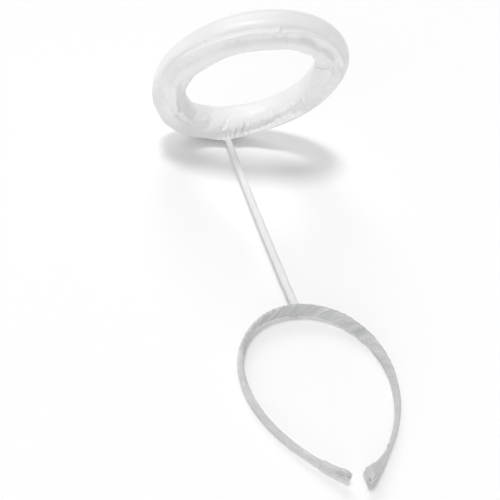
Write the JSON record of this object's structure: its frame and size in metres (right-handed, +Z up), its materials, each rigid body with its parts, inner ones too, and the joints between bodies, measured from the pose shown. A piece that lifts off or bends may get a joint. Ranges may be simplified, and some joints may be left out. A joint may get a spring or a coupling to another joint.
{
  "type": "halo headband",
  "caption": "Costume headband wrapped in satin ribbon, with a padded satin halo ring held over the head on a slim covered stem.",
  "frame": {"origin": "middle of the bottom of the part's box, on the surface that it lies on", "axes": "+Y along the part from the headband to the halo, +Z up from the surface, +X to the right with the halo at the far end"},
  "size_m": [0.1726, 0.3898, 0.161],
  "materials": {
    "halo_satin": "white satin over padding, soft sheen",
    "stem_satin": "white satin sleeve, soft sheen",
    "band_ribbon": "white satin ribbon in overlapping turns"
  },
  "bodies": {
    "root": {"headband": "band_ribbon", "ribbon_end_left": "band_ribbon", "ribbon_end_right": "band_ribbon", "stem": "stem_satin", "halo_ring": "halo_satin"}
  },
  "joints": []
}
